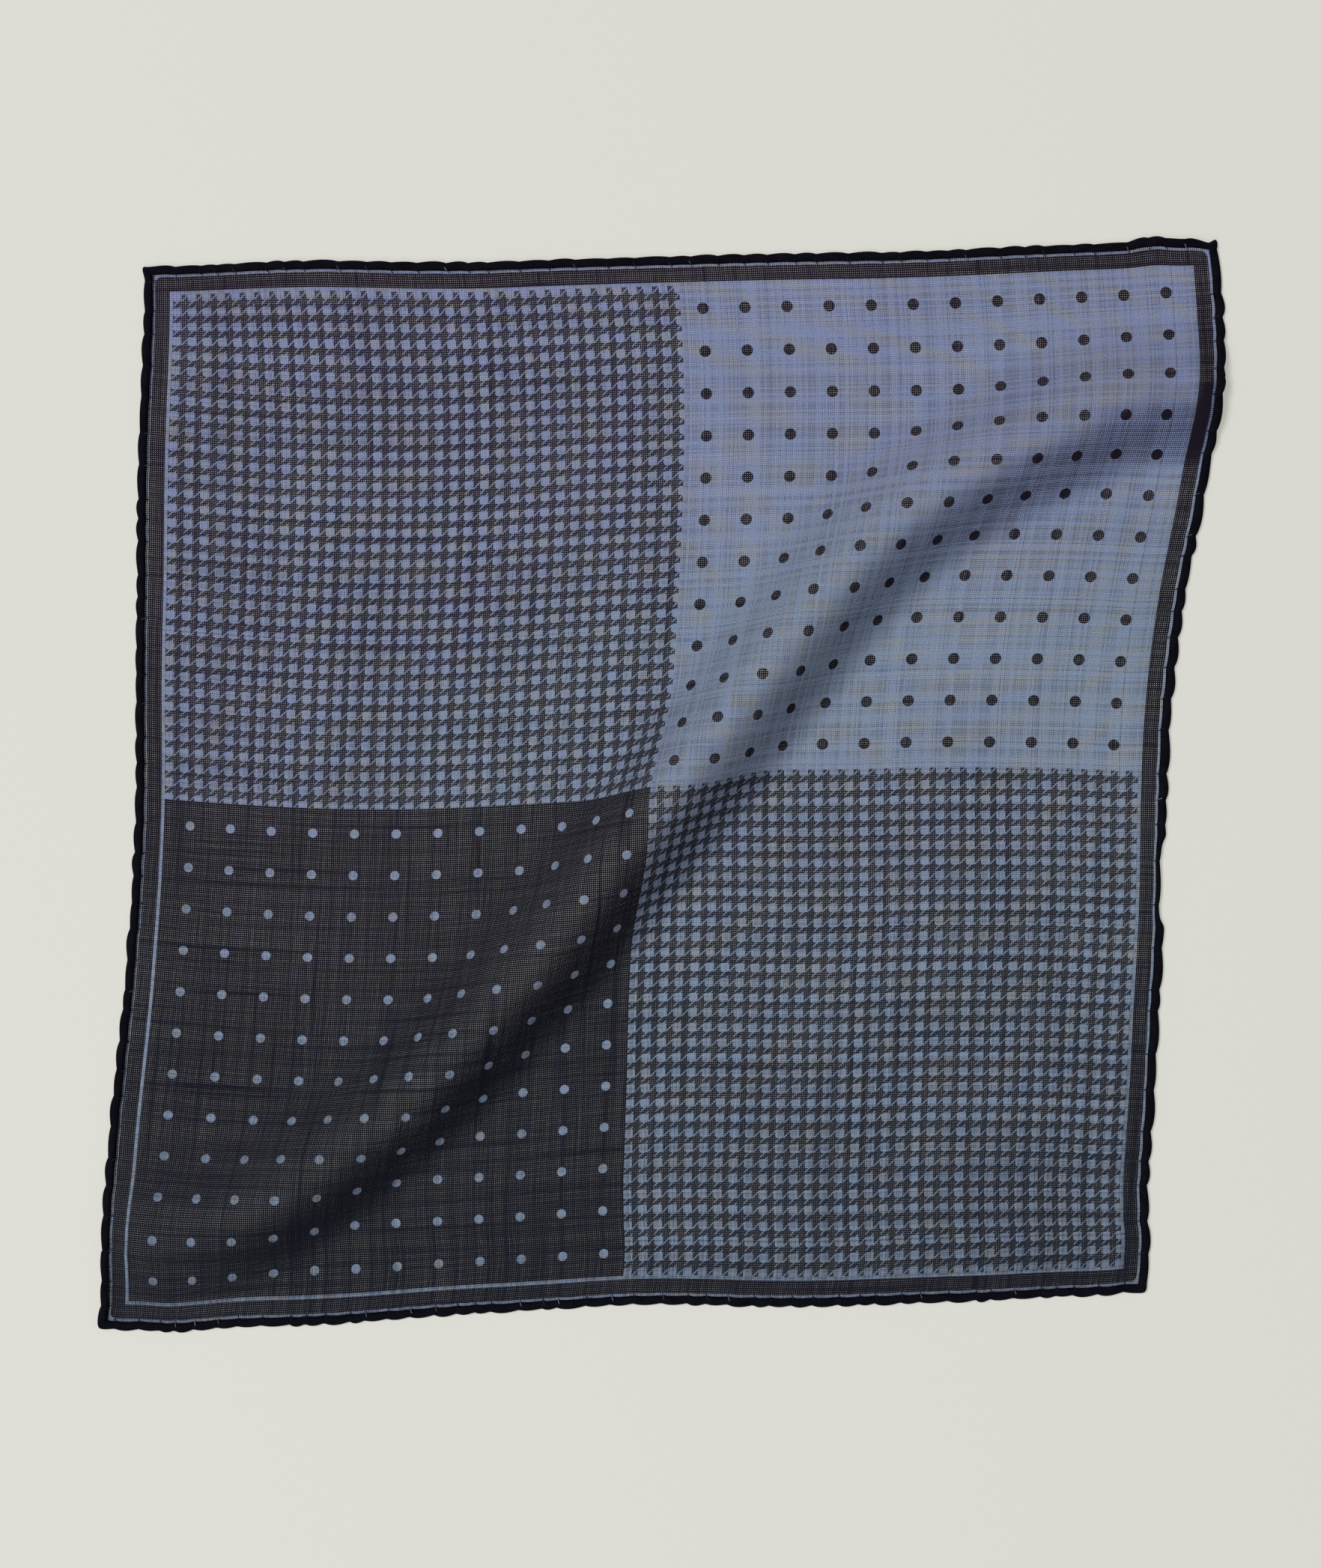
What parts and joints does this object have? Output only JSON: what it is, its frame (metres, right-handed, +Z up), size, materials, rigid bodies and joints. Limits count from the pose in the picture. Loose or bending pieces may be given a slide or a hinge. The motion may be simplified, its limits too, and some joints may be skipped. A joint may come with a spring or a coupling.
{
  "type": "pocket square",
  "caption": "Thin square handkerchief with a hand-rolled hem, laid open and flat with one soft diagonal ridge; decorates a jacket's breast pocket.",
  "frame": {"origin": "middle of the laid cloth's outline, on the surface it lies on", "axes": "+Z up out of the surface, +X to the right and +Y to the top of the cloth as it is laid; the ridge runs from the -X -Y corner to the +X +Y corner"},
  "size_m": [0.3466, 0.337, 0.0189],
  "materials": {
    "cloth": "matt open plain weave in dark navy and light blue yarns"
  },
  "bodies": {
    "root": {"pocket_square": "cloth"}
  },
  "joints": []
}
